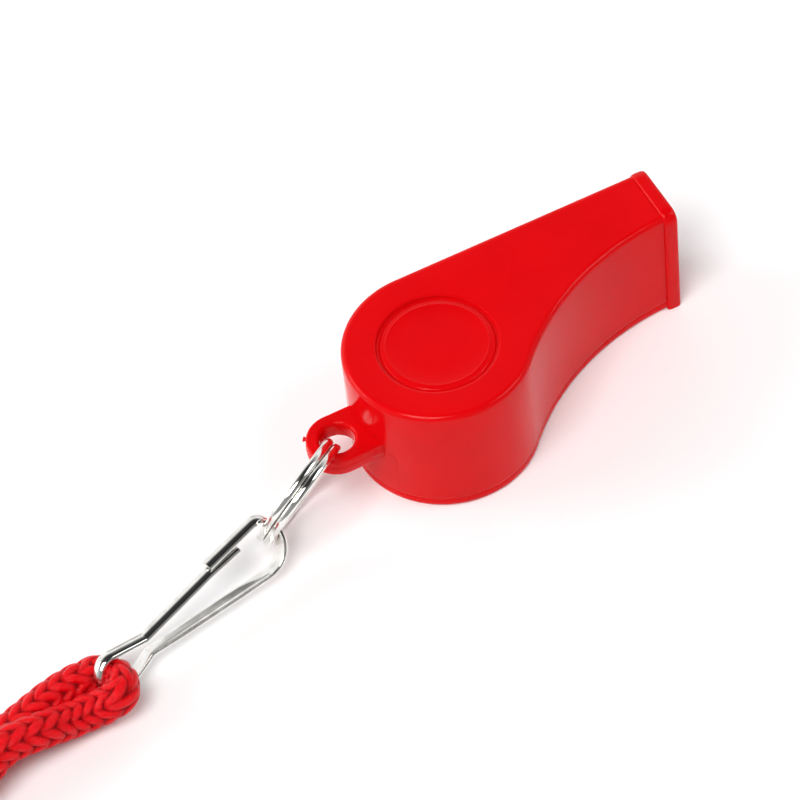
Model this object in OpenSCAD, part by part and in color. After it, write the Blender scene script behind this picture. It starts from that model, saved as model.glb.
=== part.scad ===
// Pea whistle on a lanyard: moulded whistle, split ring, spring snap hook and a knitted neck cord.
// Millimetres. The whistle lies on its lower cheek at z = 0. The origin is on the barrel's axis,
// +X runs to the mouth end, +Y is the straight side that carries the sound window.

/* [Whistle] */
// Outer radius of the round barrel
barrel_r = 11.5; // [10:0.1:13]
// Thickness of the whistle from cheek to cheek
body_t = 16.8; // [15:0.1:19]
// Distance from the barrel's axis to the mouth end
mouth_x = 34; // [31:0.5:38]
// Radius of the hollow curve under the neck
neck_r = 34; // [28:0.5:40]
// Wall of the barrel and cheeks
wall = 1.6; // [1.2:0.1:2]
// Thickness of the welded lower cheek
cover_t = 1.4; // [1:0.1:1.8]
// Radius of the shallow round panel on the cheek
panel_r = 7.3; // [6:0.1:8]

/* [Windway and window] */
// Height of the blowing slot at the mouth
slot_h = 2.8; // [2:0.1:3.2]
// Height of the windway where it meets the window
jet_h = 1.5; // [1:0.1:2]
// Width of the windway and window, across the whistle
slot_w = 11.6; // [9:0.1:12]
// Place of the window's upstream edge
window_x = 8.6; // [7.5:0.1:10]
// Place of the sharp sounding lip
lip_x = 2.4; // [1.5:0.1:3.5]
// Radius of the pea
pea_r = 4.7; // [3.5:0.1:5]

/* [Tab] */
// Centre of the tab's round end and hole
tab_at = [-14.7, -1.4]; // [-20:0.1:0]
// Radius of the tab's round end
tab_r = 3.7; // [3.4:0.1:4.2]
// Thickness of the tab
tab_t = 2.6; // [2:0.1:3.2]
// Radius of the hole through the tab
tab_hole_r = 2.2; // [2:0.05:2.4]

/* [Split ring] */
// Outside diameter of the ring
ring_od = 14.7; // [14:0.1:15.5]
// Wire diameter, two turns side by side
ring_wire = 1.05; // [0.9:0.05:1.2]
// Direction in which the ring hangs from the tab, about +Z
ring_yaw = 212; // [200:1:225]
// Lean of the ring's plane from upright
ring_lean = 24.5; // [10:0.5:30]

/* [Snap hook] */
// Width of the hook's strip
hook_w = 2.3; // [2:0.1:2.6]
// Thickness of the hook's strip
hook_t = 0.6; // [0.5:0.05:0.8]
// Mid-line radius of the wide end
wide_r = 3.5; // [3.2:0.1:4]
// Mid-line radius of the cord eye
eye_r = 2.35; // [2.2:0.05:2.8]
// Turns about X, Y and Z that lay the hook on its side
hook_turn = [59.5, -4, 15.5]; // [-90:0.5:90]

/* [Cord] */
// Diameter of the knitted cord
cord_d = 4.5; // [4:0.1:5]
// Length of the ferrule that joins the loop
crimp_len = 10; // [8:0.5:12]
// Length of the straight runs of the put-away hank
hank_run = 46; // [40:1:56]
// Width of the tie round the hank
tie_w = 5; // [3:0.5:8]

/* [Hidden] */
$fn = 96;

red = "#d8141c";
nickel = "#c9c8c4";
eps = 0.01;
mid_z = body_t / 2;
chamber_r = barrel_r - wall;
// The neck circle touches the barrel, and its centre stands just short of the mouth end.
neck_x = mouth_x - 0.6;
neck_y = -sqrt(pow(barrel_r + neck_r, 2) - neck_x * neck_x);
touch_y = neck_y * barrel_r / (barrel_r + neck_r);
mouth_y = neck_y + sqrt(neck_r * neck_r - pow(mouth_x - neck_x, 2));
slot_top = barrel_r - wall;
bead_len = 1.8;
bead_out = 0.4;
panel_depth = 0.3;
panel_groove = 0.5;
lip_land = 0.4;

// Pivot of the ring's swing is the tab hole; these place the ring's centre from it.
ring_r = (ring_od - ring_wire) / 2;
ring_reach = 7.4;
ring_side = -1.0;
ring_drop = 1.4;

// Hook: its own axes are u along the hook, v across it, and the strip's width along w.
hook_at = [-26.85, -7.5, 5.19];
wide_at = [-2.35, 0];
nose_r = 1.5;
nose_at = [-0.9, 1.75];
nose_len = 7.6;
nose_slope = 5;
back_slope = 6.9;
back_neck = [-19.9, -1.42];
gate_neck = [-19.65, 0.6];
eye_at = [-24.6, -0.65];
gate_knee = [-9, 1.72];
gate_tip = [-4.3, 1.95];
hinge_gap = 0.12;

// Cord: the two runs from the hook's eye to the ferrule, then two leads to the hank.
far_run = [[-55.05, -12.92, 2.35], [-56.85, -13.12, 2.3], [-59.05, -13.62, 2.3], [-61.15, -14.27, 2.3],
           [-63.25, -14.92, 2.3], [-65.65, -15.62, 2.3], [-68.05, -16.22, 2.3], [-71.55, -16.87, 2.45],
           [-74.95, -17.42, 2.6]];
near_run = [[-55.15, -17.72, 2.8], [-56.55, -17.72, 2.8], [-58.35, -17.92, 3.2], [-60.25, -18.32, 4.1],
            [-62.05, -18.67, 4.8], [-63.85, -18.82, 5.25], [-65.45, -19.02, 5.5], [-67.45, -19.52, 5.4],
            [-69.65, -20.52, 4.8], [-71.65, -21.42, 3.7], [-74.15, -22.02, 2.7]];
bight = [[-53.69, -12.99, 2.3], [-52.29, -12.59, 2.15], [-51.09, -13.29, 2.3], [-50.49, -14.59, 2.95],
         [-50.39, -16.29, 3.65], [-50.99, -17.7, 3.9], [-52.15, -18.2, 3.65], [-53.4, -18, 3.1]];
crimp_at = [-78.55, -20.42];
crimp_turn = 10;
crimp_h = 5.2;
crimp_w = 10.2;
// Middle of the hank's round end that faces the ferrule; the leads are laid out from it.
hank_end = [-112.55, -7.12];
hank_h = 9.2;
hank_r = 17.8;
upper_lead = [[9.5, 14.8, 6.8], [14.2, 12.3, 6.5], [18.4, 8.2, 5.8], [20.9, 3.2, 4.9],
              [21.9, -1.5, 4], [22.9, -6, 3.3], [25, -9.6, 2.8], [27.6, -11.6, 2.6],
              [29.9, -11.7, 2.6]];
lower_lead = [[7.5, -15.4, 2.3], [12, -15.6, 2.3], [17, -16.2, 2.3], [22, -16.8, 2.4],
              [26.4, -16.9, 2.5], [30.6, -16.2, 2.6]];
tie_t = 0.6;

// Points along an arc about a centre, from angle a0 to a1.
function arc(at, r, a0, a1, n = 24) =
    [for (i = [0 : n]) at + r * [cos(a0 + (a1 - a0) * i / n), sin(a0 + (a1 - a0) * i / n)]];

// Unit direction of a path at point i, from its neighbours.
function heading(p, i) =
    let (d = p[min(i + 1, len(p) - 1)] - p[max(i - 1, 0)]) d / norm(d);

// Outline of a strip of thickness t bent along a flat path.
function strip_outline(p, t) = concat(
    [for (i = [0 : len(p) - 1]) let (d = heading(p, i)) p[i] + t / 2 * [-d[1], d[0]]],
    [for (i = [len(p) - 1 : -1 : 0]) let (d = heading(p, i)) p[i] - t / 2 * [-d[1], d[0]]]);

// Angle at which a line from point a touches a circle, on the side given by the sign.
function touch_angle(a, at, r, side) =
    atan2((a - at)[1], (a - at)[0]) + side * acos(r / norm(a - at));

function hook_path() = let (
    join = atan2((nose_at - wide_at)[1], (nose_at - wide_at)[0])
         - acos((wide_r - nose_r) / norm(nose_at - wide_at)),
    eye_low = touch_angle(back_neck, eye_at, eye_r, -1),
    eye_top = touch_angle(gate_neck, eye_at, eye_r, 1) - 360,
    nose_top = nose_at + nose_r * [cos(90 + nose_slope), sin(90 + nose_slope)])
    concat([nose_top - nose_len * [cos(nose_slope), sin(nose_slope)]],
           arc(nose_at, nose_r, 90 + nose_slope, join, 10),
           arc(wide_at, wide_r, join, -90 - back_slope, 20),
           [back_neck],
           arc(eye_at, eye_r, eye_low, eye_top, 30),
           [gate_neck - hinge_gap * [1, 0.3]]);

function gate_path() = [gate_neck + hinge_gap * [1, 0.1], gate_knee, gate_tip];

// One ring of points square to the path, for a round tube.
function tube_ring(p, i, r, sides) = let (
    t = heading(p, i),
    a = cross([0, 0, 1], t) / norm(cross([0, 0, 1], t)),
    b = cross(t, a))
    [for (k = [0 : sides - 1]) p[i] + r * (cos(360 * k / sides) * a + sin(360 * k / sides) * b)];

module tube(p, d, sides = 10) {
    n = len(p);
    points = [for (i = [0 : n - 1]) each tube_ring(p, i, d / 2, sides)];
    walls = [for (i = [0 : n - 2], k = [0 : sides - 1])
        [i * sides + k, (i + 1) * sides + k, (i + 1) * sides + (k + 1) % sides, i * sides + (k + 1) % sides]];
    first = [for (k = [0 : sides - 1]) k];
    last = [for (k = [sides - 1 : -1 : 0]) (n - 1) * sides + k];
    polyhedron(points, concat(walls, [first], [last]));
}

module body_outline() {
    circle(barrel_r);
    difference() {
        translate([0, touch_y]) square([mouth_x, barrel_r - touch_y]);
        translate([neck_x, neck_y]) circle(neck_r, $fn = 180);
    }
}

// The blowing slot narrows to the jet, side view.
module windway_cut() {
    translate([0, 0, mid_z - slot_w / 2]) linear_extrude(slot_w)
        polygon([[mouth_x + 1, slot_top - slot_h], [mouth_x + 1, slot_top],
                 [window_x - eps, slot_top], [window_x - eps, slot_top - jet_h]]);
}

// The window is open from the chamber to the straight side, with a ramp down to the lip.
module window_cut() {
    translate([0, 0, mid_z - slot_w / 2]) linear_extrude(slot_w)
        polygon([[window_x, chamber_r / 2], [window_x, barrel_r + 1], [lip_x - 4.5, barrel_r + 1],
                 [lip_x - 3.6, barrel_r], [lip_x, slot_top - lip_land], [lip_x + 1, chamber_r / 2]]);
}

// Hollow under the windway, closed by the side cover.
module neck_pocket() {
    translate([0, 0, -eps]) linear_extrude(body_t - wall - 1) difference() {
        polygon([[window_x + 3.2, touch_y], [window_x + 3.2, slot_top - jet_h - 2.2],
                 [mouth_x - 4, slot_top - slot_h - 1.4], [mouth_x - 4, touch_y]]);
        translate([neck_x, neck_y]) circle(neck_r + wall, $fn = 180);
        circle(barrel_r + 0.6);
    }
}

module tab_blank() {
    translate([tab_at[0], tab_at[1], mid_z - tab_t / 2]) {
        cylinder(r = tab_r, h = tab_t);
        translate([0, -tab_r, 0]) cube([-tab_at[0] - chamber_r + 0.3, 2 * tab_r, tab_t]);
    }
}

// Raised bead round the mouth end, flush with the lower cheek.
module mouth_bead() {
    translate([mouth_x - bead_len, mouth_y - bead_out, cover_t])
        cube([bead_len, barrel_r - mouth_y + 2 * bead_out, body_t - cover_t + bead_out]);
}

module whistle_body() {
    color(red) difference() {
        union() {
            translate([0, 0, cover_t]) linear_extrude(body_t - cover_t) body_outline();
            tab_blank();
            mouth_bead();
        }
        translate([0, 0, -eps]) cylinder(r = chamber_r, h = body_t - wall);
        windway_cut();
        window_cut();
        neck_pocket();
        translate([tab_at[0], tab_at[1], 0]) cylinder(r = tab_hole_r, h = body_t);
        translate([0, 0, body_t - panel_depth]) cylinder(r = panel_r, h = 1);
        translate([0, 0, body_t - 2 * panel_depth]) difference() {
            cylinder(r = panel_r, h = 1);
            translate([0, 0, -1]) cylinder(r = panel_r - panel_groove, h = 3);
        }
    }
}

// Welded lower cheek with a locating lip inside the barrel.
module side_cover() {
    lip_h = 1;
    lip_t = 1;
    color(red) {
        linear_extrude(cover_t) body_outline();
        translate([mouth_x - bead_len, mouth_y - bead_out, 0])
            cube([bead_len, barrel_r - mouth_y + 2 * bead_out, cover_t]);
        translate([0, 0, cover_t - eps]) difference() {
            cylinder(r = chamber_r - 0.05, h = lip_h);
            translate([0, 0, -1]) cylinder(r = chamber_r - 0.05 - lip_t, h = lip_h + 2);
        }
    }
}

module pea() {
    orbit = chamber_r - pea_r - 1.4;
    color("#c79a6b") translate([-orbit * 0.75, -orbit * 0.66, cover_t + pea_r]) sphere(r = pea_r);
}

// Two turns of wire side by side, hung through the tab.
module split_ring() {
    color(nickel) translate([tab_at[0], tab_at[1], mid_z]) rotate([0, 0, ring_yaw])
        translate([ring_reach, ring_side, -ring_drop]) rotate([90 - ring_lean, 0, 0])
            for (side = [-1, 1])
                translate([0, 0, side * (ring_wire / 2 - eps)])
                    rotate_extrude() translate([ring_r, 0]) circle(ring_wire / 2, $fn = 32);
}

module on_hook() {
    translate(hook_at) rotate(hook_turn) translate([0, 0, -hook_w / 2]) children();
}

module snap_hook() {
    color(nickel) on_hook() linear_extrude(hook_w) polygon(strip_outline(hook_path(), hook_t));
}

module gate_tongue() {
    color(nickel) on_hook() linear_extrude(hook_w) polygon(strip_outline(gate_path(), hook_t));
}

module cord_bight() {
    color(red) tube(bight, cord_d * 0.86);
}

// Lead between the ferrule and the hank, from points laid out from the hank's end.
function lead(p) = [for (q = p) [hank_end[0] + q[0], hank_end[1] + q[1], q[2]]];

module cord_runs() {
    color(red) {
        tube(near_run, cord_d);
        tube(far_run, cord_d);
        tube(lead(upper_lead), cord_d);
        tube(lead(lower_lead), cord_d);
    }
}

// Oval ferrule pressed flat round both runs of cord.
module cord_crimp() {
    color(nickel) translate([crimp_at[0], crimp_at[1], crimp_h / 2]) rotate([0, 0, crimp_turn])
        rotate([0, 90, 0]) linear_extrude(crimp_len, center = true) {
            square([crimp_h, crimp_w - crimp_h], center = true);
            for (side = [-1, 1]) translate([0, side * (crimp_w - crimp_h) / 2]) circle(crimp_h / 2);
        }
}

// Box across the hank's middle, outside it by the amount given.
module tie_block(out) {
    translate([hank_end[0] - hank_run / 2 - tie_w / 2, hank_end[1] - hank_r - out, 0])
        cube([tie_w, 2 * (hank_r + out), hank_h + out]);
}

// Outer shape of the wound hank, with a waist under the tie.
module cord_hank() {
    color(red) difference() {
        translate([hank_end[0], hank_end[1], 0]) linear_extrude(hank_h) {
            circle(hank_r);
            translate([-hank_run, 0]) circle(hank_r);
            translate([-hank_run, -hank_r]) square([hank_run, 2 * hank_r]);
        }
        translate([0, 0, -eps]) hank_tie_band();
    }
}

module hank_tie_band() {
    difference() {
        tie_block(tie_t);
        translate([hank_end[0] - hank_run / 2 - tie_w, hank_end[1] - hank_r, tie_t])
            cube([2 * tie_w, 2 * hank_r, hank_h - tie_t]);
    }
}

module hank_tie() {
    color("#2b2b2d") hank_tie_band();
}

whistle_body();
side_cover();
pea();
split_ring();
snap_hook();
gate_tongue();
cord_bight();
cord_runs();
cord_crimp();
cord_hank();
hank_tie();
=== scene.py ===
"""Looks of a pea whistle with a split ring, a spring snap hook and a knitted neck cord.

Sizes are worked out in millimetres and turned to metres when a mesh is made. The whistle lies on
its lower cheek at z = 0, the barrel's axis is the Z axis, and the mouth end points along +X.
"""

import bmesh
import bpy
import numpy as np
from mathutils import Matrix, Vector


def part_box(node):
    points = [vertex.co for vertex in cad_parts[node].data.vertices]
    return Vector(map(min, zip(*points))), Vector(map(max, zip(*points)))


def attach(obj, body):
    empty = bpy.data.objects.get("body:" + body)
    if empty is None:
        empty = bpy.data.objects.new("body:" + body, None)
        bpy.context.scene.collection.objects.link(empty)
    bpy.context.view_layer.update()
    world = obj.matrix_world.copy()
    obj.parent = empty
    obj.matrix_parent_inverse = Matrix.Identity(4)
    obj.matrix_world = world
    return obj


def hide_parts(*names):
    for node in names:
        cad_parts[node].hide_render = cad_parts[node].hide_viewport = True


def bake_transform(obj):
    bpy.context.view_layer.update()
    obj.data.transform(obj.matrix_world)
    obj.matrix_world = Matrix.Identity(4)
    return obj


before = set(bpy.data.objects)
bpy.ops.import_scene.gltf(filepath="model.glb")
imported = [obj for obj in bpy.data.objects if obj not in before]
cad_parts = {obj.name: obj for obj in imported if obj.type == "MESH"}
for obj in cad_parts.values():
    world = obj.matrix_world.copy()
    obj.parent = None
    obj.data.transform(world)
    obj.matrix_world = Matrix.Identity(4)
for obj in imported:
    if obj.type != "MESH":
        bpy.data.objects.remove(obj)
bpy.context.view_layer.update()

MM = 0.001
TAU = 2 * np.pi


# ---------------------------------------------------------------- camera

def aim_camera():
    """Long lens, standing up and to the near left, rolled a little so that the mouth end rises."""
    right = Vector((0.88923, -0.45123, -0.07518))
    up = Vector((0.39639, 0.67804, 0.61898))
    back = Vector((-0.22833, -0.58022, 0.78180))
    data = bpy.data.cameras.new("camera")
    data.sensor_width = 36
    data.lens = 193.3
    data.clip_start = 0.01
    camera = bpy.data.objects.new("camera", data)
    turn = Matrix((right, up, back)).transposed().to_4x4()
    camera.matrix_world = Matrix.Translation((-0.12217, -0.29634, 0.40876)) @ turn
    bpy.context.scene.collection.objects.link(camera)
    bpy.context.scene.camera = camera


aim_camera()


# ---------------------------------------------------------------- numbers shared with the frame

BARREL_R, BODY_T, MOUTH_X, NECK_R = 11.5, 16.8, 33.92, 34.0
COVER_T, WALL = 1.4, 1.6
CHAMBER_R = BARREL_R - WALL
NECK_C = np.array([33.4, -np.sqrt((BARREL_R + NECK_R) ** 2 - 33.4 ** 2)])
TOUCH = np.arctan2(NECK_C[1], NECK_C[0])
MID_Z = BODY_T / 2
SLOT_TOP, SLOT_W = 9.9, 11.6
TAB_AT, TAB_R, TAB_T = np.array([-14.7, -1.4]), 3.7, 2.6
BEAD_LEN, BEAD_OUT = 1.8, 0.4
MOUTH_Y = NECK_C[1] + np.sqrt(NECK_R ** 2 - 0.6 ** 2)

CRIMP_AT, CRIMP_TURN = np.array([-78.55, -20.42]), np.radians(10)
CRIMP_LEN, CRIMP_H, CRIMP_W = 10.0, 5.2, 10.2
HANK_END, HANK_RUN, HANK_R, HANK_H = np.array([-112.55, -7.12]), 46.0, 17.8, 9.2
TIE_W, TIE_T = 5.0, 0.6
CORD_D = 4.5
EYE = np.array([-50.4, -14.5, 2.95])
STRAND_OUT = 2.3

RING_YAW, RING_LEAN = np.radians(212), np.radians(24.5)
RING_R, RING_WIRE, RING_APART = 6.825, 1.06, 1.06

HOOK_AT = np.array([-26.85, -7.5, 5.19])
HOOK_TURN = np.radians([59.5, -4, 15.5])
HOOK_W, HOOK_T = 2.3, 0.6
GATE_NECK = np.array([-19.65, 0.6])


# ---------------------------------------------------------------- shapes

def unit(v):
    """Each vector divided by its length."""
    return v / np.linalg.norm(v, axis=-1, keepdims=True)


def along(points):
    """Distance run along a line of points, from its start."""
    steps = np.linalg.norm(np.diff(points, axis=0), axis=1)
    return np.concatenate([[0], np.cumsum(steps)])


def at_distance(points, s):
    """The points of a line at the distances s along it."""
    run = along(points)
    return np.stack([np.interp(s, run, points[:, k]) for k in range(points.shape[1])], axis=1)


def through(points, per_span=24):
    """Smooth line through points: on each span a cubic whose end slopes are the chords beside it."""
    p = np.asarray(points, float)
    gap = np.linalg.norm(np.diff(p, axis=0), axis=1)[:, None]
    slope = np.empty_like(p)
    slope[1:-1] = (p[2:] - p[:-2]) / (gap[1:] + gap[:-1])
    slope[0], slope[-1] = (p[1] - p[0]) / gap[0], (p[-1] - p[-2]) / gap[-1]
    t = np.linspace(0, 1, per_span, endpoint=False)[None, :, None]
    a, b, g = p[:-1, None], p[1:, None], gap[:, None]
    m, n = slope[:-1, None] * g, slope[1:, None] * g
    spans = ((2 * t ** 3 - 3 * t ** 2 + 1) * a + (t ** 3 - 2 * t ** 2 + t) * m
             + (3 * t ** 2 - 2 * t ** 3) * b + (t ** 3 - t ** 2) * n)
    return np.concatenate([spans.reshape(-1, p.shape[1]), p[-1:]])


def softened(points, spacing, reach):
    """A line laid out afresh every `spacing`, then each point averaged with those within `reach`
    by a bell weight, so that its corners become small bends. Its ends stay where they are."""
    run = along(points)
    line = at_distance(points, np.linspace(0, run[-1], int(run[-1] / spacing) + 1))
    half = int(reach / spacing)
    weight = np.exp(-np.linspace(-2, 2, 2 * half + 1) ** 2)
    weight /= weight.sum()
    first = 2 * line[0] - line[half:0:-1]
    last = 2 * line[-1] - line[-2:-half - 2:-1]
    long = np.concatenate([first, line, last])
    return np.stack([np.convolve(long[:, k], weight, "valid") for k in range(line.shape[1])], axis=1)


def directions(line, up):
    """Heading of a line, the direction to its side that is square to `up`, and the third one."""
    head = unit(np.gradient(line, axis=0))
    side = unit(np.cross(up, head))
    return head, side, np.cross(head, side)


def carried(line, side, up, profile):
    """A profile of points (across, high), one for all or one for each ring, carried along a line."""
    profile = np.broadcast_to(profile, (len(line),) + np.shape(profile)[-2:])
    return line[:, None] + profile[..., :1] * side[:, None] + profile[..., 1:] * up[:, None]


def rounded_bar(width, height, power, count):
    """Superellipse: |across / half width| ** power + |high / half height| ** power = 1."""
    a = np.linspace(0, TAU, count, endpoint=False)
    c, s = np.cos(a), np.sin(a)
    return np.stack([width / 2 * np.sign(c) * np.abs(c) ** (2 / power),
                     height / 2 * np.sign(s) * np.abs(s) ** (2 / power)], axis=-1)


def grid(rings, ring_closed=True, line_closed=False, ends=True, scale=None):
    """Faces between the rings of an array (rings, points, 3). Every face has UVs: how far round and
    how far along, in millimetres if scale gives (round, along) lengths. Open ends are closed flat."""
    m, n = rings.shape[:2]
    i, j = np.meshgrid(np.arange(m if line_closed else m - 1),
                       np.arange(n if ring_closed else n - 1), indexing="ij")
    i, j = i.ravel(), j.ravel()
    i2, j2 = (i + 1) % m, (j + 1) % n
    quads = np.stack([i * n + j, i * n + j2, i2 * n + j2, i2 * n + j], axis=1)
    rows = np.linspace(0, 1, m + 1 if line_closed else m)
    if scale is not None and not line_closed:
        rows = np.asarray(scale[1], float) if np.ndim(scale[1]) else rows * scale[1]
    round_to = (1.0 if scale is None else scale[0]) / (n if ring_closed else n - 1)
    u = np.stack([j, j + 1, j + 1, j], axis=1) * round_to
    v = np.stack([rows[i], rows[i], rows[i + 1], rows[i + 1]], axis=1)
    faces, uv = quads.tolist(), np.stack([u, v], axis=-1).reshape(-1, 2)
    if ends and not line_closed:
        faces += [list(range(n))[::-1], list(range((m - 1) * n, m * n))]
        uv = np.concatenate([uv, np.zeros((2 * n, 2))])
    return rings.reshape(-1, 3), faces, uv


def joined(*parts):
    """Several sets of (points, faces, uv) as one."""
    shift, faces = 0, []
    for points, found, _ in parts:
        faces += [[k + shift for k in face] for face in found]
        shift += len(points)
    return (np.concatenate([p[0] for p in parts]), faces, np.concatenate([p[2] for p in parts]))


def mesh_of(name, shape, outward=True):
    """A mesh object from (points in mm, faces, uv), its faces turned outwards."""
    points, faces, uv = shape
    mesh = bpy.data.meshes.new(name)
    mesh.from_pydata((points * MM).tolist(), [], faces)
    layer = mesh.uv_layers.new(name="UVMap")
    layer.data.foreach_set("uv", uv.astype(np.float32).ravel())
    if outward:
        work = bmesh.new()
        work.from_mesh(mesh)
        bmesh.ops.recalc_face_normals(work, faces=work.faces)
        work.to_mesh(mesh)
        work.free()
    obj = bpy.data.objects.new(name, mesh)
    bpy.context.scene.collection.objects.link(obj)
    return obj


def finish(obj, material, body, crease=32):
    """Smooth shading up to the crease angle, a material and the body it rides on."""
    obj.data.shade_smooth()
    obj.data.set_sharp_from_angle(angle=np.radians(crease))
    obj.data.materials.clear()
    obj.data.materials.append(material)
    if body:
        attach(obj, body)
    return obj


def cut(obj, cutters):
    """obj less each cutter, worked out once and left as a plain mesh."""
    for cutter in cutters:
        step = obj.modifiers.new("cut", "BOOLEAN")
        step.operation, step.solver, step.object = "DIFFERENCE", "EXACT", cutter
    shaped = bpy.data.meshes.new_from_object(obj.evaluated_get(bpy.context.evaluated_depsgraph_get()))
    obj.modifiers.clear()
    obj.data = shaped
    for cutter in cutters:
        bpy.data.objects.remove(cutter)
    return obj


# ---------------------------------------------------------------- materials

def linear(code, alpha=1.0):
    """sRGB hex to linear: v / 12.92 below 0.04045, ((v + 0.055) / 1.055) ** 2.4 above."""
    v = np.array([int(code[k:k + 2], 16) for k in (1, 3, 5)]) / 255
    v = np.where(v <= 0.04045, v / 12.92, ((v + 0.055) / 1.055) ** 2.4)
    return (*v.tolist(), alpha)


def add(tree, kind, inputs=None, **settings):
    """A shader node with its settings; an input given a socket is linked, any other is set."""
    node = tree.nodes.new("ShaderNode" + kind)
    for name, value in settings.items():
        setattr(node, name, value)
    for name, value in (inputs or {}).items():
        if isinstance(value, bpy.types.NodeSocket):
            tree.links.new(value, node.inputs[name])
        else:
            node.inputs[name].default_value = value
    return node


def ramp(tree, factor, stops, interpolation="LINEAR"):
    """Colour ramp through stops of (place, linear colour)."""
    node = add(tree, "ValToRGB", {"Fac": factor})
    node.color_ramp.interpolation = interpolation
    while len(node.color_ramp.elements) < len(stops):
        node.color_ramp.elements.new(0.5)
    for element, (place, colour) in zip(node.color_ramp.elements, stops):
        element.position, element.color = place, colour
    return node.outputs["Color"]


def new_material(name, **values):
    """A material of one principled shader with plain values on its own sockets."""
    material = bpy.data.materials.new(name)
    material.use_nodes = True
    tree = material.node_tree
    shader = tree.nodes["Principled BSDF"]
    for key, value in values.items():
        shader.inputs[key.replace("_", " ")].default_value = value
    return material, tree, shader


def grey(v):
    """A plain grey for a ramp that drives a number."""
    return (v, v, v, 1)


def moulded_abs(name, light, deep, rough):
    """ABS from a polished mould: an even, saturated gloss with faint flow marks 9 mm across, a
    ripple too low to see but in the reflections, and handling haze that dulls it in patches."""
    material, tree, shader = new_material(
        name, IOR=1.52, Specular_IOR_Level=0.11, Subsurface_Weight=0.05, Subsurface_Scale=0.0012)
    shader.inputs["Subsurface Radius"].default_value = (1.0, 0.12, 0.08)
    place = add(tree, "TexCoord").outputs["Object"]
    flow = add(tree, "TexNoise", {"Vector": place, "Scale": 110.0, "Detail": 3.0, "Roughness": 0.5})
    colour = ramp(tree, flow.outputs["Fac"], [(0.3, linear(deep)), (0.7, linear(light))])
    tree.links.new(colour, shader.inputs["Base Color"])
    haze = add(tree, "TexNoise", {"Vector": place, "Scale": 260.0, "Detail": 8.0, "Roughness": 0.65})
    gloss = ramp(tree, haze.outputs["Fac"], [(0.45, grey(rough)), (0.72, grey(rough + 0.12))])
    tree.links.new(gloss, shader.inputs["Roughness"])
    ripple = add(tree, "TexNoise", {"Vector": place, "Scale": 420.0, "Detail": 2.0})
    grain = add(tree, "TexNoise", {"Vector": place, "Scale": 5200.0, "Detail": 2.0})
    low = add(tree, "Bump", {"Height": ripple.outputs["Fac"], "Strength": 0.10, "Distance": 0.00012})
    fine = add(tree, "Bump", {"Height": grain.outputs["Fac"], "Strength": 0.05,
                              "Distance": 0.00004, "Normal": low.outputs["Normal"]})
    tree.links.new(fine.outputs["Normal"], shader.inputs["Normal"])
    return material


def nickel_plate(name, light, dark, rough, lines):
    """Bright nickel on rolled steel: a warm white metal with sharp reflections, drawing lines
    0.25 mm apart along the strip, wider than real ones so that they show, and grey tarnish."""
    material, tree, shader = new_material(name, Metallic=1.0)
    place = add(tree, "TexCoord")
    drawn = add(tree, "Mapping", {"Vector": place.outputs["UV"], "Scale": (lines, 0.12, 1.0)})
    streak = add(tree, "TexNoise", {"Vector": drawn.outputs["Vector"], "Scale": 1.0, "Detail": 4.0})
    stain = add(tree, "TexNoise", {"Vector": place.outputs["Object"], "Scale": 700.0, "Detail": 5.0})
    colour = ramp(tree, stain.outputs["Fac"], [(0.35, linear(light)), (0.75, linear(dark))])
    tree.links.new(colour, shader.inputs["Base Color"])
    gloss = ramp(tree, streak.outputs["Fac"], [(0.3, grey(rough)), (0.75, grey(rough + 0.14))])
    tree.links.new(gloss, shader.inputs["Roughness"])
    bump = add(tree, "Bump", {"Height": streak.outputs["Fac"], "Strength": 0.12, "Distance": 0.00003})
    tree.links.new(bump.outputs["Normal"], shader.inputs["Normal"])
    return material


def knitted_polyester():
    """Textured polyester yarn, knitted: soft pink sheen on the crown of each yarn, painted shade
    that turns the colour deep red in the gaps between stitches by the knit's height, lighter on the
    crowns, and filaments along each leg, drawn 0.16 mm apart so that they show."""
    material, tree, shader = new_material(
        "knitted polyester, red", Roughness=0.30, Specular_IOR_Level=0.17, Sheen_Weight=0.02,
        Sheen_Roughness=0.4, Subsurface_Weight=0.08, Subsurface_Scale=0.0006)
    shader.inputs["Sheen Tint"].default_value = linear("#ff8f9a")
    shader.inputs["Subsurface Radius"].default_value = (1.0, 0.1, 0.1)
    lay = add(tree, "Attribute", attribute_name="stitch")
    parts = add(tree, "SeparateXYZ", {"Vector": lay.outputs["Vector"]})
    place = add(tree, "TexCoord").outputs["Object"]
    fuzz = add(tree, "TexNoise", {"Vector": place, "Scale": 2600.0, "Detail": 4.0})
    # painted shade: the knit's height times fuzz picks the colour, deep red in the gaps between
    # stitches and lighter on the crowns
    depth = add(tree, "Math", {0: parts.outputs["Z"], 1: fuzz.outputs["Fac"]}, operation="MULTIPLY")
    colour = ramp(tree, depth.outputs["Value"],
                  [(0.05, linear("#9c0009")), (0.24, linear("#d2000b")), (0.55, linear("#e90514"))])
    tree.links.new(colour, shader.inputs["Base Color"])
    strands = add(tree, "CombineXYZ", {"X": parts.outputs["Y"], "Y": parts.outputs["X"]})
    pull = add(tree, "Mapping", {"Vector": strands.outputs["Vector"], "Scale": (7.0, 0.8, 1.0)})
    filament = add(tree, "TexNoise", {"Vector": pull.outputs["Vector"], "Scale": 1.0, "Detail": 3.0})
    first = add(tree, "Bump", {"Height": filament.outputs["Fac"], "Strength": 0.7, "Distance": 0.00018})
    second = add(tree, "Bump", {"Height": fuzz.outputs["Fac"], "Strength": 0.25,
                                "Distance": 0.0001, "Normal": first.outputs["Normal"]})
    tree.links.new(second.outputs["Normal"], shader.inputs["Normal"])
    return material


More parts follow.
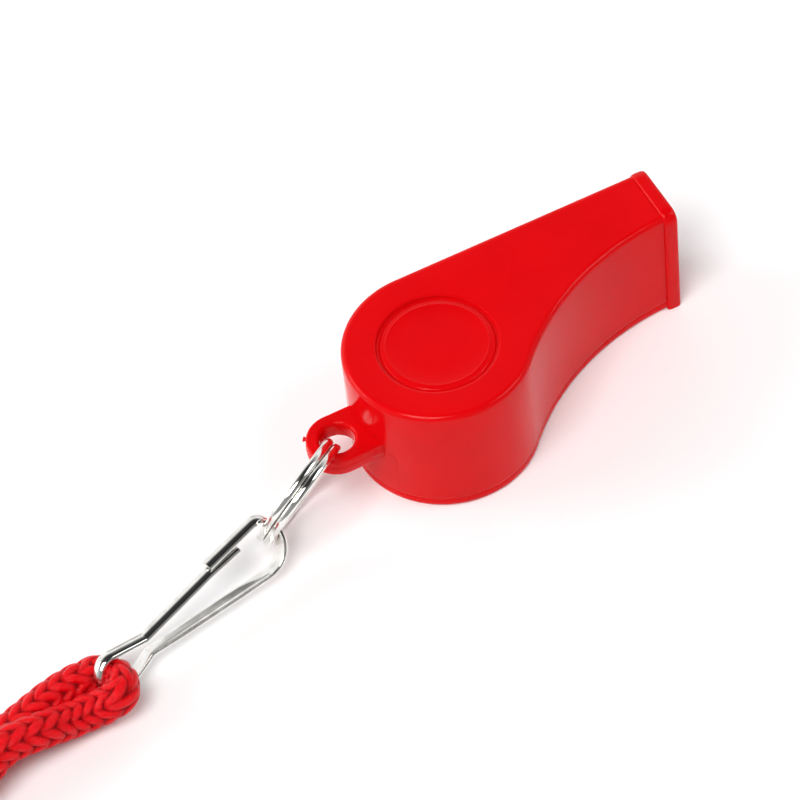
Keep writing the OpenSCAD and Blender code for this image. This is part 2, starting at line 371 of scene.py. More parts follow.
def pressed_cork():
    """Agglomerated cork: dull tan granules about 1 mm across with dark gaps between them."""
    material, tree, shader = new_material("pressed cork, turned", Roughness=0.85)
    place = add(tree, "TexCoord").outputs["Object"]
    cells = add(tree, "TexVoronoi", {"Vector": place, "Scale": 900.0}, feature="DISTANCE_TO_EDGE")
    tone = add(tree, "TexNoise", {"Vector": place, "Scale": 700.0, "Detail": 6.0})
    gaps = ramp(tree, cells.outputs["Distance"], [(0.0, grey(0.35)), (0.12, grey(1.0))])
    body = ramp(tree, tone.outputs["Fac"], [(0.3, linear("#8a5a33")), (0.7, linear("#c79a6b"))])
    mixed = add(tree, "Mix", {"Factor": 1.0, "A": body, "B": gaps}, data_type="RGBA",
                blend_type="MULTIPLY")
    tree.links.new(mixed.outputs["Result"], shader.inputs["Base Color"])
    bump = add(tree, "Bump", {"Height": cells.outputs["Distance"], "Strength": 0.5,
                              "Distance": 0.0002})
    tree.links.new(bump.outputs["Normal"], shader.inputs["Normal"])
    return material


def woven_nylon():
    """Woven nylon hook tape: near black, matt, with ribs across the band 0.7 mm apart."""
    material, tree, shader = new_material("woven nylon tape, black", Roughness=0.75,
                                          Sheen_Weight=0.3)
    uv = add(tree, "TexCoord").outputs["UV"]
    weave = add(tree, "TexChecker", {"Vector": uv, "Scale": 2.8})
    rib = add(tree, "TexWave", {"Vector": uv, "Scale": 0.45, "Distortion": 0.6}, bands_direction="Y")
    colour = ramp(tree, weave.outputs["Fac"], [(0.0, linear("#18181a")), (1.0, linear("#303034"))])
    tree.links.new(colour, shader.inputs["Base Color"])
    bump = add(tree, "Bump", {"Height": rib.outputs["Fac"], "Strength": 0.6, "Distance": 0.0002})
    tree.links.new(bump.outputs["Normal"], shader.inputs["Normal"])
    return material


RED = moulded_abs("moulded ABS, gloss red", "#dc070d", "#d3050b", 0.10)
NICKEL = nickel_plate("nickel plate on rolled steel, bright", "#f2f1ee", "#dad7d2", 0.05, 4.0)
FERRULE = nickel_plate("nickel plate on pressed brass, satin", "#d5d0c4", "#a8a196", 0.22, 2.0)
CORD = knitted_polyester()
CORK = pressed_cork()
TAPE = woven_nylon()


# ---------------------------------------------------------------- cord

def from_crimp(forward, across, z):
    """Point at a distance along and across from the ferrule's middle."""
    c, s = np.cos(CRIMP_TURN), np.sin(CRIMP_TURN)
    x = CRIMP_AT[0] + forward * c - across * s
    y = CRIMP_AT[1] + forward * s + across * c
    return np.stack(np.broadcast_arrays(x, y, z), axis=-1)


def hank_line():
    """The put-away length, wound clockwise on a long loop: straight runs joined by half circles. Two
    lanes, 15.5 and 11 mm from the middle line, lie on the floor and two on top of them. On the round
    end near the ferrule the radius or the height goes over to the next lane, by the angle turned."""
    lanes = [(15.5, 2.3), (11.0, 2.3), (11.0, 6.9), (15.5, 6.9)]
    radius = [([-90, -67, -45, -22, 0, 90], [11.0, 11.9, 13.3, 14.4, 15.2, 15.5]),
              ([-90, 90], [11.0, 11.0]),
              ([-90, -45, 0, 22, 45, 67, 90], [15.5, 15.5, 15.0, 14.3, 13.3, 11.8, 11.0])]
    height = [([-90, 90], [2.3, 2.3]),
              ([-90, -67, -45, -22, 0, 22, 45, 67, 90],
               [6.9, 6.75, 6.2, 5.5, 4.6, 3.75, 3.0, 2.45, 2.3]), ([-90, 90], [6.9, 6.9])]
    run = np.linspace(0, 1, 24, endpoint=False)[:, None]
    left = np.radians(np.linspace(-90, -270, 32, endpoint=False))
    right = np.linspace(90, -90, 32, endpoint=False)
    pieces = []
    for turn, (r, z) in enumerate(lanes):
        low, high = np.array([0, -r, z]), np.array([-HANK_RUN, r, z])
        across = np.array([-HANK_RUN, 0, 0])
        pieces += [low + run * across,
                   np.stack([-HANK_RUN + r * np.cos(left), r * np.sin(left), np.full(32, z)], axis=1),
                   high - run * across]
        if turn < 3:
            r, z = np.interp(right, *radius[turn]), np.interp(right, *height[turn])
            a = np.radians(right)
            pieces.append(np.stack([r * np.cos(a), r * np.sin(a), z], axis=1))
    line = np.concatenate(pieces)
    at_tie = np.exp(-((line[:, 0] + HANK_RUN / 2) / 5) ** 4)
    line[:, 2] += at_tie * np.where(line[:, 2] < 4, 0.5, 0.05)
    return line + np.append(HANK_END, 0)


def cord_line():
    """The whole neck cord: out of the ferrule, along the near run, round the hook's eye, back along
    the far run, through the ferrule, round the hank, and back into the ferrule, where its ends meet."""
    near_run = [[-74.15, -22.02, 2.7], [-71.65, -21.42, 3.7], [-69.65, -20.52, 4.8],
                [-67.45, -19.52, 5.4], [-65.45, -19.02, 5.5], [-63.85, -18.82, 5.25],
                [-62.05, -18.67, 4.8], [-60.25, -18.32, 4.1], [-58.35, -17.92, 3.2],
                [-56.55, -17.72, 2.8], [-55.15, -17.72, 2.8]]
    bight = [[-53.4, -18, 3.1], [-52.15, -18.2, 3.65], [-50.99, -17.7, 3.9], [-50.39, -16.29, 3.65],
             [-50.49, -14.59, 2.95], [-51.09, -13.29, 2.3], [-52.29, -12.59, 2.15],
             [-53.69, -12.99, 2.3]]
    far_run = [[-55.05, -12.92, 2.35], [-56.85, -13.12, 2.3], [-59.05, -13.62, 2.3],
               [-61.15, -14.27, 2.3], [-63.25, -14.92, 2.3], [-65.65, -15.62, 2.3],
               [-68.05, -16.22, 2.3], [-71.55, -16.87, 2.45], [-74.95, -17.42, 2.6]]
    upper = np.array([[6, 15.6, 6.9], [9.5, 14.8, 6.8], [14.2, 12.3, 6.5], [18.4, 8.2, 5.8],
                      [20.9, 3.2, 4.9], [21.9, -1.5, 4], [22.9, -6, 3.3], [25, -9.6, 2.8],
                      [27.6, -11.6, 2.6]]) + np.append(HANK_END, 0)
    lower = np.array([[26.4, -16.9, 2.5], [22, -16.8, 2.4], [17, -16.2, 2.3], [12, -15.6, 2.3],
                      [7.5, -15.4, 2.3]]) + np.append(HANK_END, 0)
    in_ferrule = lambda start, end, side: from_crimp(np.array([start, end]), side * STRAND_OUT, 2.6)
    front = np.concatenate([in_ferrule(0.4, 2.5, -1), near_run, bight, far_run,
                            in_ferrule(2.5, -1.0, 1)])
    wound = hank_line()
    behind = np.concatenate([in_ferrule(-1.0, -4.5, 1), upper[::-1],
                             at_distance(wound[::-1], np.arange(0, along(wound)[-1], 3.0)),
                             lower[::-1], in_ferrule(-4.5, -0.4, -1)])
    return through(front), through(behind, 8)


def knit(turn, s, pitch=2.0, wales=4):
    """Height of the knitted surface, 0 to 1, and the place on the yarn, at an angle round the cord
    and a distance along it. Each wale is a column of V stitches. A leg of a V is an ellipsoid whose
    centre line leans away from the wale's middle; the highest of the legs near a point is taken,
    and each leg's far end rides up over the next stitch."""
    x = (turn * wales / TAU) % 1 * 2 - 1
    mirrored = np.sign(x) + (x == 0)
    x = np.abs(x)
    best, lay_along, lay_across = np.full(x.shape, -9.0), np.zeros(x.shape), np.zeros(x.shape)
    for k in (-1, 0, 1):
        row = np.round(s / pitch) + k
        ahead = s / pitch - row
        for side, middle in ((0, 0.5 + 0.7 * ahead), (1, 1.5 - 0.7 * ahead), (2, -0.5 - 0.7 * ahead)):
            a = ahead / 0.80
            b = (x - middle) / 0.48
            high = np.sqrt(np.clip(1 - a * a - b * b, 0, 1)) + 0.16 * ahead
            high = np.where(a * a + b * b < 1, high, -1)
            taller = high > best
            best = np.where(taller, high, best)
            lay_along = np.where(taller, a + 3.7 * row, lay_along)
            lay_across = np.where(taller, b + 2.9 * mirrored + 5.3 * side, lay_across)
    return np.clip(best, 0, 1.1), lay_along, lay_across


def knitted_tube(line, start, round_count, thin):
    """Tube of knitted cord: radius = 1.78 mm + 0.48 mm times the knit's height, times `thin`."""
    head, side, up = directions(line, np.array([0, 0, 1.0]))
    s = start + along(line)
    turn = np.linspace(0, TAU, round_count, endpoint=False)
    high, lay_along, lay_across = knit(*np.broadcast_arrays(turn[None], s[:, None]))
    radius = (1.78 + 0.48 * high) * thin[:, None]
    profile = np.stack([radius * np.cos(turn), radius * np.sin(turn)], axis=-1)
    shape = grid(carried(line, side, up, profile), scale=(TAU * CORD_D / 2, s))
    return shape, np.stack([lay_along, lay_across, high], axis=-1).reshape(-1, 3)


def neck_cord():
    """One knitted cord, finer in its mesh as far as the ferrule than round the hank."""
    shown, hidden = cord_line()
    total = along(shown)[-1]
    fine = at_distance(shown, np.arange(0, total, 0.17))
    rest = at_distance(hidden, np.arange(0.1, along(hidden)[-1], 0.42))
    nip = np.linalg.norm(fine - EYE, axis=1)
    thin = 1 - 0.12 * np.exp(-(nip / 3.2) ** 4)
    front, lay_front = knitted_tube(fine, 0, 80, thin)
    behind, lay_behind = knitted_tube(rest, total, 36, np.ones(len(rest)))
    cord = mesh_of("neck_cord", joined(front, behind))
    # the stitch attribute's third value, the knit's height, drives the cord's painted shade between
    # stitches
    stitch = cord.data.attributes.new("stitch", "FLOAT_VECTOR", "POINT")
    lay = np.concatenate([lay_front, lay_behind])
    stitch.data.foreach_set("vector", lay.astype(np.float32).ravel())
    finish(cord, CORD, None, crease=180)
    path = np.concatenate([fine[::10], rest[::12], rest[-1:]]) * MM
    return cord, path


def ferrule():
    """Oval sleeve pressed round both runs: a stadium outline carried along the ferrule, out over a
    rolled lip, in along its bore, with three pressed grooves across it."""
    lengths = np.linspace(-1, 1, 61) * (CRIMP_LEN / 2 - 0.25)
    grooves = sum(np.exp(-((lengths - g) / 0.45) ** 2) for g in (-2.6, 0, 2.6))
    turn = np.linspace(0, np.pi, 9)[1:-1]
    lip = np.stack([CRIMP_LEN / 2 - 0.25 + 0.25 * np.sin(turn), -0.25 + 0.25 * np.cos(turn)], axis=1)
    outer = np.stack([lengths, -0.28 * grooves], axis=1)
    inner = np.stack([lengths[::-2], np.full(31, -0.5)], axis=1)
    loop = np.concatenate([outer, lip, inner, lip[::-1] * [-1, 1]])
    a = np.linspace(0, TAU, 72, endpoint=False)
    half = (CRIMP_W - CRIMP_H) / 2
    radius = CRIMP_H / 2 + loop[:, 1][:, None]
    across = radius * np.cos(a) + half * np.clip(np.cos(a) * 4, -1, 1)
    z = CRIMP_H / 2 + radius * np.sin(a)
    rings = from_crimp(loop[:, :1], across, z)
    return mesh_of("cord_ferrule", grid(rings, line_closed=True))


def tie():
    """Band round the hank: a thin rounded strip carried round a box with round corners, and its
    free end laid over the top."""
    out, low, high, corner = HANK_R + TIE_T / 2, TIE_T / 2, HANK_H + TIE_T / 2, 2.2
    quarter = np.linspace(0, np.pi / 2, 9)
    turns = [(out, high, 0), (-out, high, 1), (-out, low, 2), (out, low, 3)]
    loop = np.concatenate([
        np.stack([y - np.sign(y) * corner + corner * np.cos(quarter + k * np.pi / 2),
                  z - (corner if z == high else -corner) + corner * np.sin(quarter + k * np.pi / 2)],
                 axis=1) for y, z, k in turns])
    loop = np.concatenate([loop, loop[:1]])
    loop = at_distance(loop, np.linspace(0, along(loop)[-1], 161)[:-1])
    tail = through([[9.0, high + 0.55], [4, high + 0.6], [-2, high + 0.58], [-6, high + 0.6],
                    [-8.4, high + 0.85]], 8)

    def strip(flat, closed):
        """The strip's rounded section carried along a flat line of (across, high)."""
        line = np.column_stack([np.full(len(flat), HANK_END[0] - HANK_RUN / 2),
                                flat[:, 0] + HANK_END[1], flat[:, 1]])
        width = np.array([1.0, 0, 0])
        heading = np.roll(line, -1, 0) - np.roll(line, 1, 0) if closed else np.gradient(line, axis=0)
        normal = unit(np.cross(heading, width))
        section = rounded_bar(TIE_W, TIE_T * 0.96, 5, 20)
        rings = carried(line, np.broadcast_to(width, line.shape), normal, section)
        return grid(rings, line_closed=closed, scale=(11.0, along(flat)))

    return mesh_of("hank_band", joined(strip(loop, True), strip(tail, False)))


cord, cord_path = neck_cord()
crimp = finish(ferrule(), FERRULE, "lanyard")
band = finish(tie(), TAPE, "lanyard")
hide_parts("cord_crimp")
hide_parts("hank_tie")
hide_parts("cord_bight", "cord_runs", "cord_hank")
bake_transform(cord)


# ---------------------------------------------------------------- whistle

def body_line(inset, mouth=MOUTH_X):
    """The whistle's outline moved in by `inset`: the barrel's arc from where the neck touches it,
    clockwise to its top; the straight side; the mouth end; and the neck's arc back to the touch.
    Arcs stay on their centres, so their radii change by the inset. Also gives, for each point, the
    angle of the panel's edge that it is joined to across the cheek."""
    arc = np.linspace(TOUCH, TOUCH - (TAU - (np.pi / 2 - TOUCH)), 130, endpoint=False)
    barrel = (BARREL_R - inset) * np.stack([np.cos(arc), np.sin(arc)], axis=1)
    end_x, high_y = mouth - inset, BARREL_R - inset
    neck_r = NECK_R + inset
    low = np.arccos((end_x - NECK_C[0]) / neck_r)
    straight = np.stack([np.linspace(0, end_x, 40, endpoint=False), np.full(40, high_y)], axis=1)
    low_y = NECK_C[1] + neck_r * np.sin(low)
    mouth_end = np.stack([np.full(12, end_x), np.linspace(high_y, low_y, 12, endpoint=False)], axis=1)
    turn = np.linspace(low, TOUCH + np.pi, 70, endpoint=False)
    neck = NECK_C + neck_r * np.stack([np.cos(turn), np.sin(turn)], axis=1)
    top = TOUCH - (TAU - (np.pi / 2 - TOUCH))
    degrees = np.concatenate([arc, top - np.radians(np.linspace(0, 40, 40, endpoint=False)),
                              top - np.radians(np.linspace(40, 65, 12, endpoint=False)),
                              np.linspace(top - np.radians(65), TOUCH - TAU, 70, endpoint=False)])
    return np.concatenate([barrel, straight, mouth_end, neck]), degrees


def cheek_and_wall(steps, panel):
    """Rings of a closed cheek: outlines at (inset, z) steps up the wall and over its round edge, then
    circles at the panel's (radius, z) steps, in to a pole at the middle."""
    rings = [np.column_stack([body_line(inset)[0], np.full(252, z)]) for inset, z in steps]
    angle = body_line(0)[1]
    rings += [np.stack([r * np.cos(angle), r * np.sin(angle), np.full(252, z)], axis=1)
              for r, z in panel]
    return grid(np.array(rings))


def rounded_edge(radius, z, up, count=9):
    """(inset, z) steps over a quarter-round edge, and a last one just inside it that keeps the flat
    face beyond it flat to the eye."""
    a = np.linspace(0, np.pi / 2, count)
    steps = np.stack([radius * (1 - np.cos(a)), z + up * radius * (np.sin(a) - 1)], axis=1)
    return np.concatenate([steps, [[radius + 0.08, z]]])


def block(outline, low, high):
    """Prism of a flat outline between two heights."""
    outline = np.asarray(outline, float)
    rings = np.array([np.column_stack([outline, np.full(len(outline), z)]) for z in (low, high)])
    return grid(rings)


def lathe(name, profile, count=144):
    """A closed profile of (radius, z) turned about the barrel's axis, ends on the axis."""
    a = np.linspace(0, TAU, count, endpoint=False)
    rings = np.array([np.stack([r * np.cos(a), r * np.sin(a), np.full(count, z)], axis=1)
                      for r, z in profile])
    return mesh_of(name, grid(rings))


def windway_cutter():
    """The blowing slot: rounded rectangles along X from the window to the mouth, taller towards the
    mouth, with a small flare over the last half millimetre."""
    x = np.array([7.0, 8.6, 14, 20, 26, 31, 33.2, 33.55, 33.8, 34.2])
    tall = np.interp(x, [8.6, 33.4], [1.5, 2.8]) + np.interp(x, [33.2, 33.55, 33.8, 34.2],
                                                            [0, 0.08, 0.3, 0.9])
    wide = SLOT_W + np.interp(x, [33.2, 33.55, 33.8, 34.2], [0, 0.08, 0.3, 0.9])
    middle = SLOT_TOP - np.interp(x, [8.6, 33.4], [1.5, 2.8]) / 2
    section = np.stack([rounded_bar(w, t, 7, 40) for w, t in zip(wide, tall)])
    line = np.column_stack([x, middle, np.full(len(x), MID_Z)])
    side = np.tile([0, 0, 1.0], (len(x), 1))
    up = np.tile([0, 1.0, 0], (len(x), 1))
    return mesh_of("windway", grid(carried(line, side, up, section)))


def whistle_body():
    """Moulded shell: wall, round top edge, sunk panel with a fine second ring, then the chamber, the
    window with its ramp and lip, and the blowing slot cut from it."""
    wall = [[0.07, COVER_T + 0.02], [0.03, COVER_T + 0.04], [0, COVER_T + 0.09],
            [0, COVER_T + 0.3], [0, 4], [0, 8], [0, 12]]
    edge = rounded_edge(0.75, BODY_T, 1)
    panel = [[7.62, BODY_T], [7.5, BODY_T - 0.01], [7.38, BODY_T - 0.06], [7.31, BODY_T - 0.16],
             [7.28, BODY_T - 0.38], [7.22, BODY_T - 0.5], [7.1, BODY_T - 0.56], [6.95, BODY_T - 0.55],
             [6.86, BODY_T - 0.46], [6.8, BODY_T - 0.36], [6.7, BODY_T - 0.3], [6.55, BODY_T - 0.29],
             [6.28, BODY_T - 0.29], [6.22, BODY_T - 0.255], [6.12, BODY_T - 0.25],
             [6.04, BODY_T - 0.285], [5.96, BODY_T - 0.3], [4, BODY_T - 0.3], [2, BODY_T - 0.3],
             [0.05, BODY_T - 0.3]]
    steps = np.concatenate([wall, edge])
    shell = mesh_of("whistle_shell", cheek_and_wall(steps, panel))
    roof = BODY_T - WALL
    chamber = lathe("chamber", [[0.01, 0], [CHAMBER_R, 0], [CHAMBER_R, roof - 0.8],
                                [CHAMBER_R - 0.24, roof - 0.24], [CHAMBER_R - 0.8, roof],
                                [0.01, roof]])
    low, high = MID_Z - SLOT_W / 2, MID_Z + SLOT_W / 2
    window = mesh_of("window", block([[8.6, 4.95], [8.6, 11.2], [8.9, 12.5], [-2.4, 12.5],
                                      [-1.2, 11.5], [2.4, 9.5], [3.4, 4.95]], low, high))
    return cut(shell, [chamber, window, windway_cutter()])


def side_cheek():
    """Welded lower cheek: a fine step at the joint, a round lower edge and a shallow ring line."""
    edge = rounded_edge(0.55, 0, -1)
    steps = np.concatenate([[[0.07, COVER_T], [0.03, COVER_T - 0.02], [0, COVER_T - 0.07]], edge])
    panel = [[7.4, 0], [7.3, 0.03], [7.25, 0.15], [7.15, 0.2], [6.9, 0.2], [6.8, 0.15],
             [6.75, 0.03], [6.65, 0], [0.05, 0]]
    return mesh_of("side_cheek", cheek_and_wall(steps, panel))


def tab():
    """Eyelet tab: one closed band round the hole. At each place round it the section runs up the
    hole's wall, over its flared rim, out over the flat, down the round edge with the parting ridge,
    and back underneath. Points lie between the hole's circle and the tab's outline by a share."""
    reach = -TAB_AT[0] - CHAMBER_R + 0.5
    round_end = np.radians(np.linspace(90, 270, 61))
    outline = np.concatenate([
        TAB_R * np.stack([np.cos(round_end), np.sin(round_end)], axis=1),
        np.stack([np.linspace(0, reach, 16)[1:], np.full(15, -TAB_R)], axis=1),
        np.stack([np.full(10, reach), np.linspace(-TAB_R, TAB_R, 12)[1:-1]], axis=1),
        np.stack([np.linspace(reach, 0, 16)[:-1], np.full(15, TAB_R)], axis=1)])
    angle = np.unwrap(np.arctan2(outline[:, 1], outline[:, 0]))
    out = unit(outline)
    half = TAB_T / 2
    hole = [[2.04, 0], [2.05, 0.10], [2.08, 0.14], [2.09, 0.5], [2.10, 0.62], [2.12, 0.85],
            [2.18, 1.02], [2.27, 1.16], [2.40, 1.26], [2.53, half], [2.6, half]]
    rim = [[0.34, half], [0.26, half], [0.15, 1.25], [0.06, 1.16], [0.02, 1.02], [0.0, 0.85],
           [0.0, 0.14], [-0.05, 0.08], [-0.05, 0.0]]
    top = [(r * np.stack([np.cos(angle), np.sin(angle)], axis=1), z) for r, z in hole]
    top += [(outline - inset * out, z) for inset, z in rim]
    loop = top + [(flat, -z) for flat, z in top[-2:0:-1]]
    rings = np.array([np.column_stack([flat + TAB_AT, np.full(len(flat), MID_Z + z)])
                      for flat, z in loop])
    return mesh_of("eyelet_tab", grid(rings, line_closed=True))


def mouth_bead():
    """Raised bead: half of a flat superellipse, 1.8 mm along X and 0.4 mm proud, carried up the near
    side, over the top and down the far side of the mouth end, on round corners."""
    corner = 0.8
    near, far, top = MOUTH_Y + 0.35, BARREL_R - 0.35, BODY_T - 0.35
    quarter = np.linspace(0, np.pi / 2, 8)
    path = np.concatenate([
        [[near, z] for z in np.linspace(0.12, top - corner, 14)],
        np.stack([near + corner - corner * np.cos(quarter[1:]),
                  top - corner + corner * np.sin(quarter[1:])], axis=1),
        np.stack([far - corner + corner * np.sin(quarter),
                  top - corner + corner * np.cos(quarter)], axis=1),
        [[far, z] for z in np.linspace(top - corner, 0.12, 14)[1:]]])
    path = at_distance(path, np.linspace(0, along(path)[-1], 120))
    line = np.column_stack([np.full(len(path), 34 - BEAD_LEN / 2), path])
    head = unit(np.gradient(line, axis=0))
    side = np.tile([1.0, 0, 0], (len(line), 1))
    up = np.cross(side, head)
    up *= np.sign(np.sum(up * (line - [33, 7, 6]), axis=1, keepdims=True))
    a = np.linspace(0, np.pi, 19)
    across = -BEAD_LEN / 2 * np.sign(np.cos(a)) * np.abs(np.cos(a)) ** 0.55
    high = 0.35 + BEAD_OUT * np.sin(a) ** 0.75
    section = np.concatenate([[[-BEAD_LEN / 2, -0.9]], np.stack([across, high], axis=1),
                              [[BEAD_LEN / 2, -0.9]]])
    return mesh_of("mouth_bead", grid(carried(line, side, up, section)))


def fine_wire(name, points, radius):
    """A hair-thin raised line: a small round section carried along a line."""
    line = softened(np.asarray(points, float), 0.12, 0.3)
    out = unit(line * [1, 1, 0])
    head = unit(np.gradient(line, axis=0))
    side = np.cross(out, head)
    a = np.linspace(0, TAU, 8, endpoint=False)
    section = radius * np.stack([np.cos(a), np.sin(a)], axis=1)
    return mesh_of(name, grid(carried(line, side, out, section)))


def mould_lines():
    """Witness line of the mould's split on the barrel: from the tab's root round to the straight
    run down to the joint."""
    angle = np.radians([203.5, 207, 211, 213.8, 214.5, 214.5])
    z = np.array([7.2, 7.9, 8.3, 8.0, 7.2, COVER_T + 0.1])
    near = BARREL_R - 0.01
    line = np.stack([near * np.cos(angle), near * np.sin(angle), z], axis=1)
    return fine_wire("mould_line", line, 0.05)


def sprue_nub():
    """What is left of the sprue on the tab's end: a short stub, wider at its broken tip."""
    a = np.radians(139)
    out = np.array([np.cos(a), np.sin(a), 0])
    start = np.append(TAB_AT, MID_Z) + (TAB_R - 0.15) * out
    reach = np.array([0, 0.12, 0.3, 0.45, 0.58, 0.66, 0.7])
    size = np.array([0.42, 0.30, 0.25, 0.27, 0.36, 0.30, 0.08])
    turn = np.linspace(0, TAU, 16, endpoint=False)
    ragged = 1 + 0.12 * np.sin(3 * turn + 4 * reach[:, None])
    section = (size[:, None] * ragged)[..., None] * np.stack([np.cos(turn), 0.8 * np.sin(turn)], axis=1)
    line = start + reach[:, None] * out
    side = np.tile(np.cross([0, 0, 1.0], out), (len(line), 1))
    up = np.tile([0, 0, 1.0], (len(line), 1))
    return mesh_of("sprue_nub", grid(carried(line, side, up, section)))


def cork_pea():
    """Cork ball: a sphere with sixty small pits, each a bell-shaped dip of its own size."""
    seed = np.random.default_rng(11)
    pits = unit(seed.normal(size=(60, 3)))
    depth, width = seed.uniform(0.04, 0.16, 60), seed.uniform(0.05, 0.12, 60)
    down, turn = np.meshgrid(np.linspace(0.01, np.pi - 0.01, 64), np.linspace(0, TAU, 96, False),
                             indexing="ij")
    way = np.stack([np.sin(down) * np.cos(turn), np.sin(down) * np.sin(turn), np.cos(down)], axis=-1)
    apart = np.arccos(np.clip(way @ pits.T, -1, 1))
    radius = 4.7 - (depth * np.exp(-(apart / width) ** 2)).sum(axis=-1)
    low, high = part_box("pea")
    middle = np.array((low + high) / 2) / MM
    return mesh_of("cork_pea", grid(middle + radius[..., None] * way))


parts = [whistle_body(), side_cheek(), tab(), mouth_bead(), mould_lines(), sprue_nub()]
for part in parts:
    finish(part, RED, "whistle")
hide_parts("whistle_body")
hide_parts("side_cover")
pea = finish(cork_pea(), CORK, "pea", crease=60)
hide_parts("pea")


# ---------------------------------------------------------------- split ring

def split_ring():
    """Two turns of wire side by side in one helix: 340 degrees on one side, a short step across
    where both ends stop, and 340 degrees on the other."""
    forward = np.array([np.cos(RING_YAW), np.sin(RING_YAW), 0])
    left = np.array([-np.sin(RING_YAW), np.cos(RING_YAW), 0])
    up = np.array([0, 0, 1.0])
    middle = np.append(TAB_AT, MID_Z) + 7.4 * forward - 1.0 * left - 1.4 * up
    normal = np.sin(RING_LEAN - np.pi / 2) * left + np.cos(np.pi / 2 - RING_LEAN) * up
    level = np.cross(normal, forward)
    degrees = np.linspace(18, 702, 720)
    t = np.clip((degrees - 343) / 34, 0, 1)
    offset = -RING_APART / 2 + RING_APART * t * t * (3 - 2 * t)
    a = np.radians(degrees - 62)
    radial = np.cos(a)[:, None] * forward + np.sin(a)[:, None] * level
    line = middle + RING_R * radial + offset[:, None] * normal
    section = rounded_bar(RING_WIRE, RING_WIRE, 2.5, 20)
    run = (degrees - 18) / 684
    taper = np.clip(np.minimum(run, 1 - run) / 0.0022, 0, 1) ** 0.5 * 0.35 + 0.65
    rings = carried(line, np.tile(normal, (len(line), 1)), radial, section * taper[:, None, None])
    return mesh_of("split_ring", grid(rings, scale=(3.3, 86.0)))


ring = finish(split_ring(), NICKEL, "ring", crease=40)
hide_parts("split_ring")


# ---------------------------------------------------------------- snap hook

def hook_frame():
    """The hook's own axes: turned about X, then Y, then Z."""
    (ca, cb, cc), (sa, sb, sc) = np.cos(HOOK_TURN), np.sin(HOOK_TURN)
    about_x = np.array([[1, 0, 0], [0, ca, -sa], [0, sa, ca]])
    about_y = np.array([[cb, 0, sb], [0, 1, 0], [-sb, 0, cb]])
    about_z = np.array([[cc, -sc, 0], [sc, cc, 0], [0, 0, 1]])
    return about_z @ about_y @ about_x


def bend(middle, radius, start, end, count=24):
    """Points on an arc, from one angle to another in degrees."""
    a = np.radians(np.linspace(start, end, count))
    return np.asarray(middle) + radius * np.stack([np.cos(a), np.sin(a)], axis=1)


def touch(point, middle, radius, side):
    """Angle where a line from a point touches a circle: its bearing plus or less arccos(r / gap)."""
    gap = np.asarray(point) - middle
    return np.degrees(np.arctan2(gap[1], gap[0]) + side * np.arccos(radius / np.linalg.norm(gap)))


def strip(name, line, power, bulge, twist, ends):
    """Spring strip carried along a flat line: a superellipse 2.3 x 0.6 mm whose middle is pushed
    outwards by bulge * (1 - (across / half width) ** 2), which rolls it into a channel, and which
    is tipped by twist times the distance across."""
    axes = hook_frame()
    u, v, n = axes[:, 0], axes[:, 1], axes[:, 2]
    line = softened(line, 0.1, ends)
    share = along(line) / along(line)[-1]
    head = unit(np.gradient(line, axis=0))
    out = np.stack([head[:, 1], -head[:, 0]], axis=1)
    roll = bulge(share)[:, None]
    section = rounded_bar(HOOK_W, HOOK_T, power, 36)[None]
    across = section[..., 0] * (1 - 0.10 * roll)
    high = (section[..., 1] + roll * (0.62 * (1 - (2 * across / HOOK_W) ** 2) - 0.32)
            + twist(share)[:, None] * across)
    place = lambda flat: HOOK_AT + flat[:, :1] * u + flat[:, 1:] * v
    normal = out[:, :1] * u + out[:, 1:] * v
    rings = carried(place(line), np.broadcast_to(n, normal.shape), normal,
                    np.stack([across, high], axis=-1))
    return mesh_of(name, grid(rings, scale=(5.8, along(line)[-1])))


def snap_hook():
    """From the nose's square end, round the nose and the wide end, down the back leg, round the cord
    eye and up to the gate's root. The nose and the gate side of the eye are rolled to a channel, the
    wide end and the back leg are flat."""
    nose, wide = np.array([-0.9, 1.75]), np.array([-2.35, 0])
    back_neck, eye, eye_r = np.array([-19.9, -1.42]), np.array([-24.6, -0.65]), 2.35
    gap = nose - wide
    join = np.degrees(np.arctan2(gap[1], gap[0]) - np.arccos(2.0 / np.linalg.norm(gap)))
    top = nose + 1.5 * np.array([np.cos(np.radians(95)), np.sin(np.radians(95))])
    slope = np.radians(5)
    eye_top = touch(GATE_NECK, eye, eye_r, 1) - 360
    line = np.concatenate([[top - 7.6 * np.array([np.cos(slope), np.sin(slope)])],
                           bend(nose, 1.5, 95, join), bend(wide, 3.5, join, -96.9), [back_neck],
                           bend(eye, eye_r, touch(back_neck, eye, eye_r, -1), eye_top, 40),
                           [GATE_NECK + [0.05, 0.01]]])

    def step(x, a, b):
        """0 before a, 1 after b, and t * t * (3 - 2 * t) of the share t between them."""
        t = np.clip((x - a) / (b - a), 0, 1)
        return t ** 2 * (3 - 2 * t)

    bulge = lambda s: 1 - step(s, 0.13, 0.22) + step(s, 0.66, 0.80)
    return strip("snap_hook", line[::-1], 5, lambda s: bulge(1 - s),
                 lambda s: 0.072 * np.exp(-((s - 0.50) / 0.14) ** 4), 0.3)


def gate_tongue():
    """The free end of the strip, rolled to a channel, with its tip inside the nose."""
    line = np.array([GATE_NECK + [-0.05, 0.0], [-9, 1.72], [-4.3, 1.95]])
    return strip("gate_tongue", line[::-1], 5, np.ones_like, np.zeros_like, 0.3)


hook = finish(snap_hook(), NICKEL, "hook", crease=40)
gate = finish(gate_tongue(), NICKEL, "gate", crease=40)
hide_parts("snap_hook")
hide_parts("gate_tongue")


# ---------------------------------------------------------------- floor and light

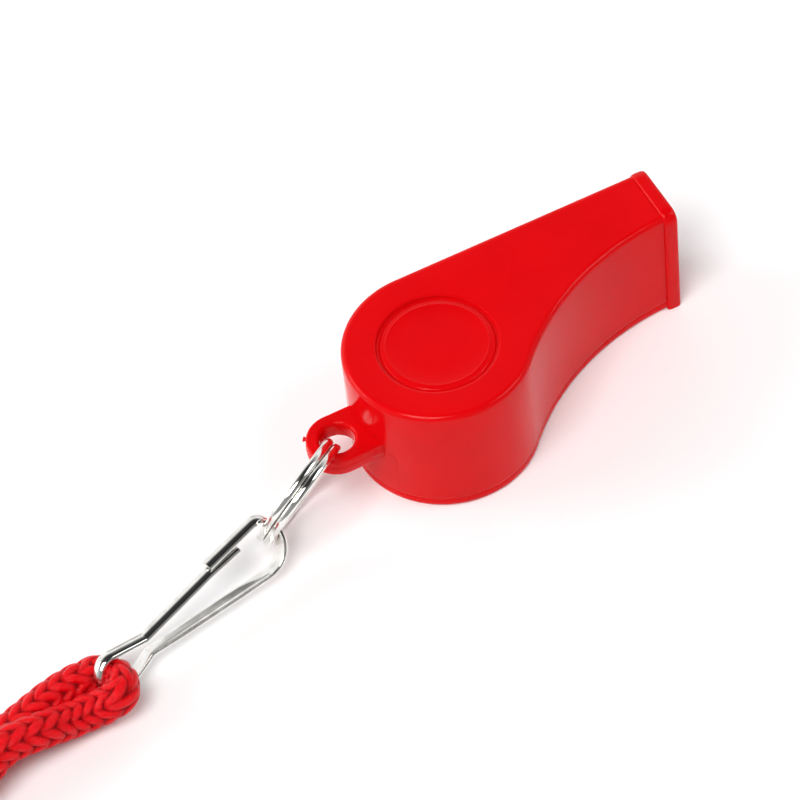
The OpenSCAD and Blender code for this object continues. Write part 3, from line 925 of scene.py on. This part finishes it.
def floor():
    """Plain pale floor, flat and matt."""
    mesh = bpy.data.meshes.new("floor")
    mesh.from_pydata([(-3, -3, 0), (3, -3, 0), (3, 3, 0), (-3, 3, 0)], [], [(0, 1, 2, 3)])
    obj = bpy.data.objects.new("floor", mesh)
    bpy.context.scene.collection.objects.link(obj)
    material, tree, shader = new_material("painted board, matt white", Roughness=0.9,
                                          Base_Color=linear("#fefefe"), Specular_IOR_Level=0.1)
    mesh.materials.append(material)


def softbox(name, place, target, size, power, tint="#ffffff"):
    """A square area light that looks at a point."""
    light = bpy.data.lights.new(name, "AREA")
    light.size, light.energy, light.color = size, power, linear(tint)[:3]
    obj = bpy.data.objects.new(name, light)
    look = Vector(target) - Vector(place)
    obj.matrix_world = Matrix.Translation(place) @ look.to_track_quat("-Z", "Y").to_matrix().to_4x4()
    bpy.context.scene.collection.objects.link(obj)


def surroundings():
    """A light tent: white walls down to the table, dimmer on the near side, a dark opening overhead,
    and on the right of +Y a dark gap just above the table. Brightness = a curve of the direction's
    height, one of two by its X, times a curve of its Y."""
    world = bpy.data.worlds.new("studio")
    bpy.context.scene.world = world
    world.use_nodes = True
    tree = world.node_tree
    way = add(tree, "SeparateXYZ", {"Vector": add(tree, "TexCoord").outputs["Generated"]})
    high = [(0.55, grey(1.3)), (0.72, grey(0.45)), (0.88, grey(0.05))]
    walls = ramp(tree, way.outputs["Z"], [(0.0, grey(1.3))] + high)
    gap = ramp(tree, way.outputs["Z"],
               [(0.0, grey(0.04)), (0.10, grey(0.06)), (0.18, grey(1.3))] + high)
    part = ramp(tree, way.outputs["X"], [(0.06, grey(0.0)), (0.13, grey(1.0))])
    tent = add(tree, "Mix", {"Factor": part, "A": walls, "B": gap}, data_type="RGBA")
    depth = add(tree, "MapRange", {"Value": way.outputs["Y"], "From Min": -1.0, "From Max": 1.0})
    near = ramp(tree, depth.outputs["Result"], [(0.25, grey(0.30)), (0.65, grey(1.0))])
    both = add(tree, "Mix", {"Factor": 1.0, "A": tent.outputs["Result"], "B": near},
               data_type="RGBA", blend_type="MULTIPLY")
    tree.links.new(both.outputs["Result"], tree.nodes["Background"].inputs["Color"])
    tree.nodes["Background"].inputs["Strength"].default_value = 0.8


floor()
surroundings()
softbox("key", (-0.45, -0.35, 0.95), (-0.03, -0.01, 0), 0.55, 8.3)
softbox("fill", (0.65, -0.35, 0.75), (0, 0, 0), 0.5, 2.6)
softbox("rim", (-0.75, 0.45, 0.38), (-0.02, 0, 0), 0.45, 2.6)
bpy.context.scene.view_settings.view_transform = "Standard"
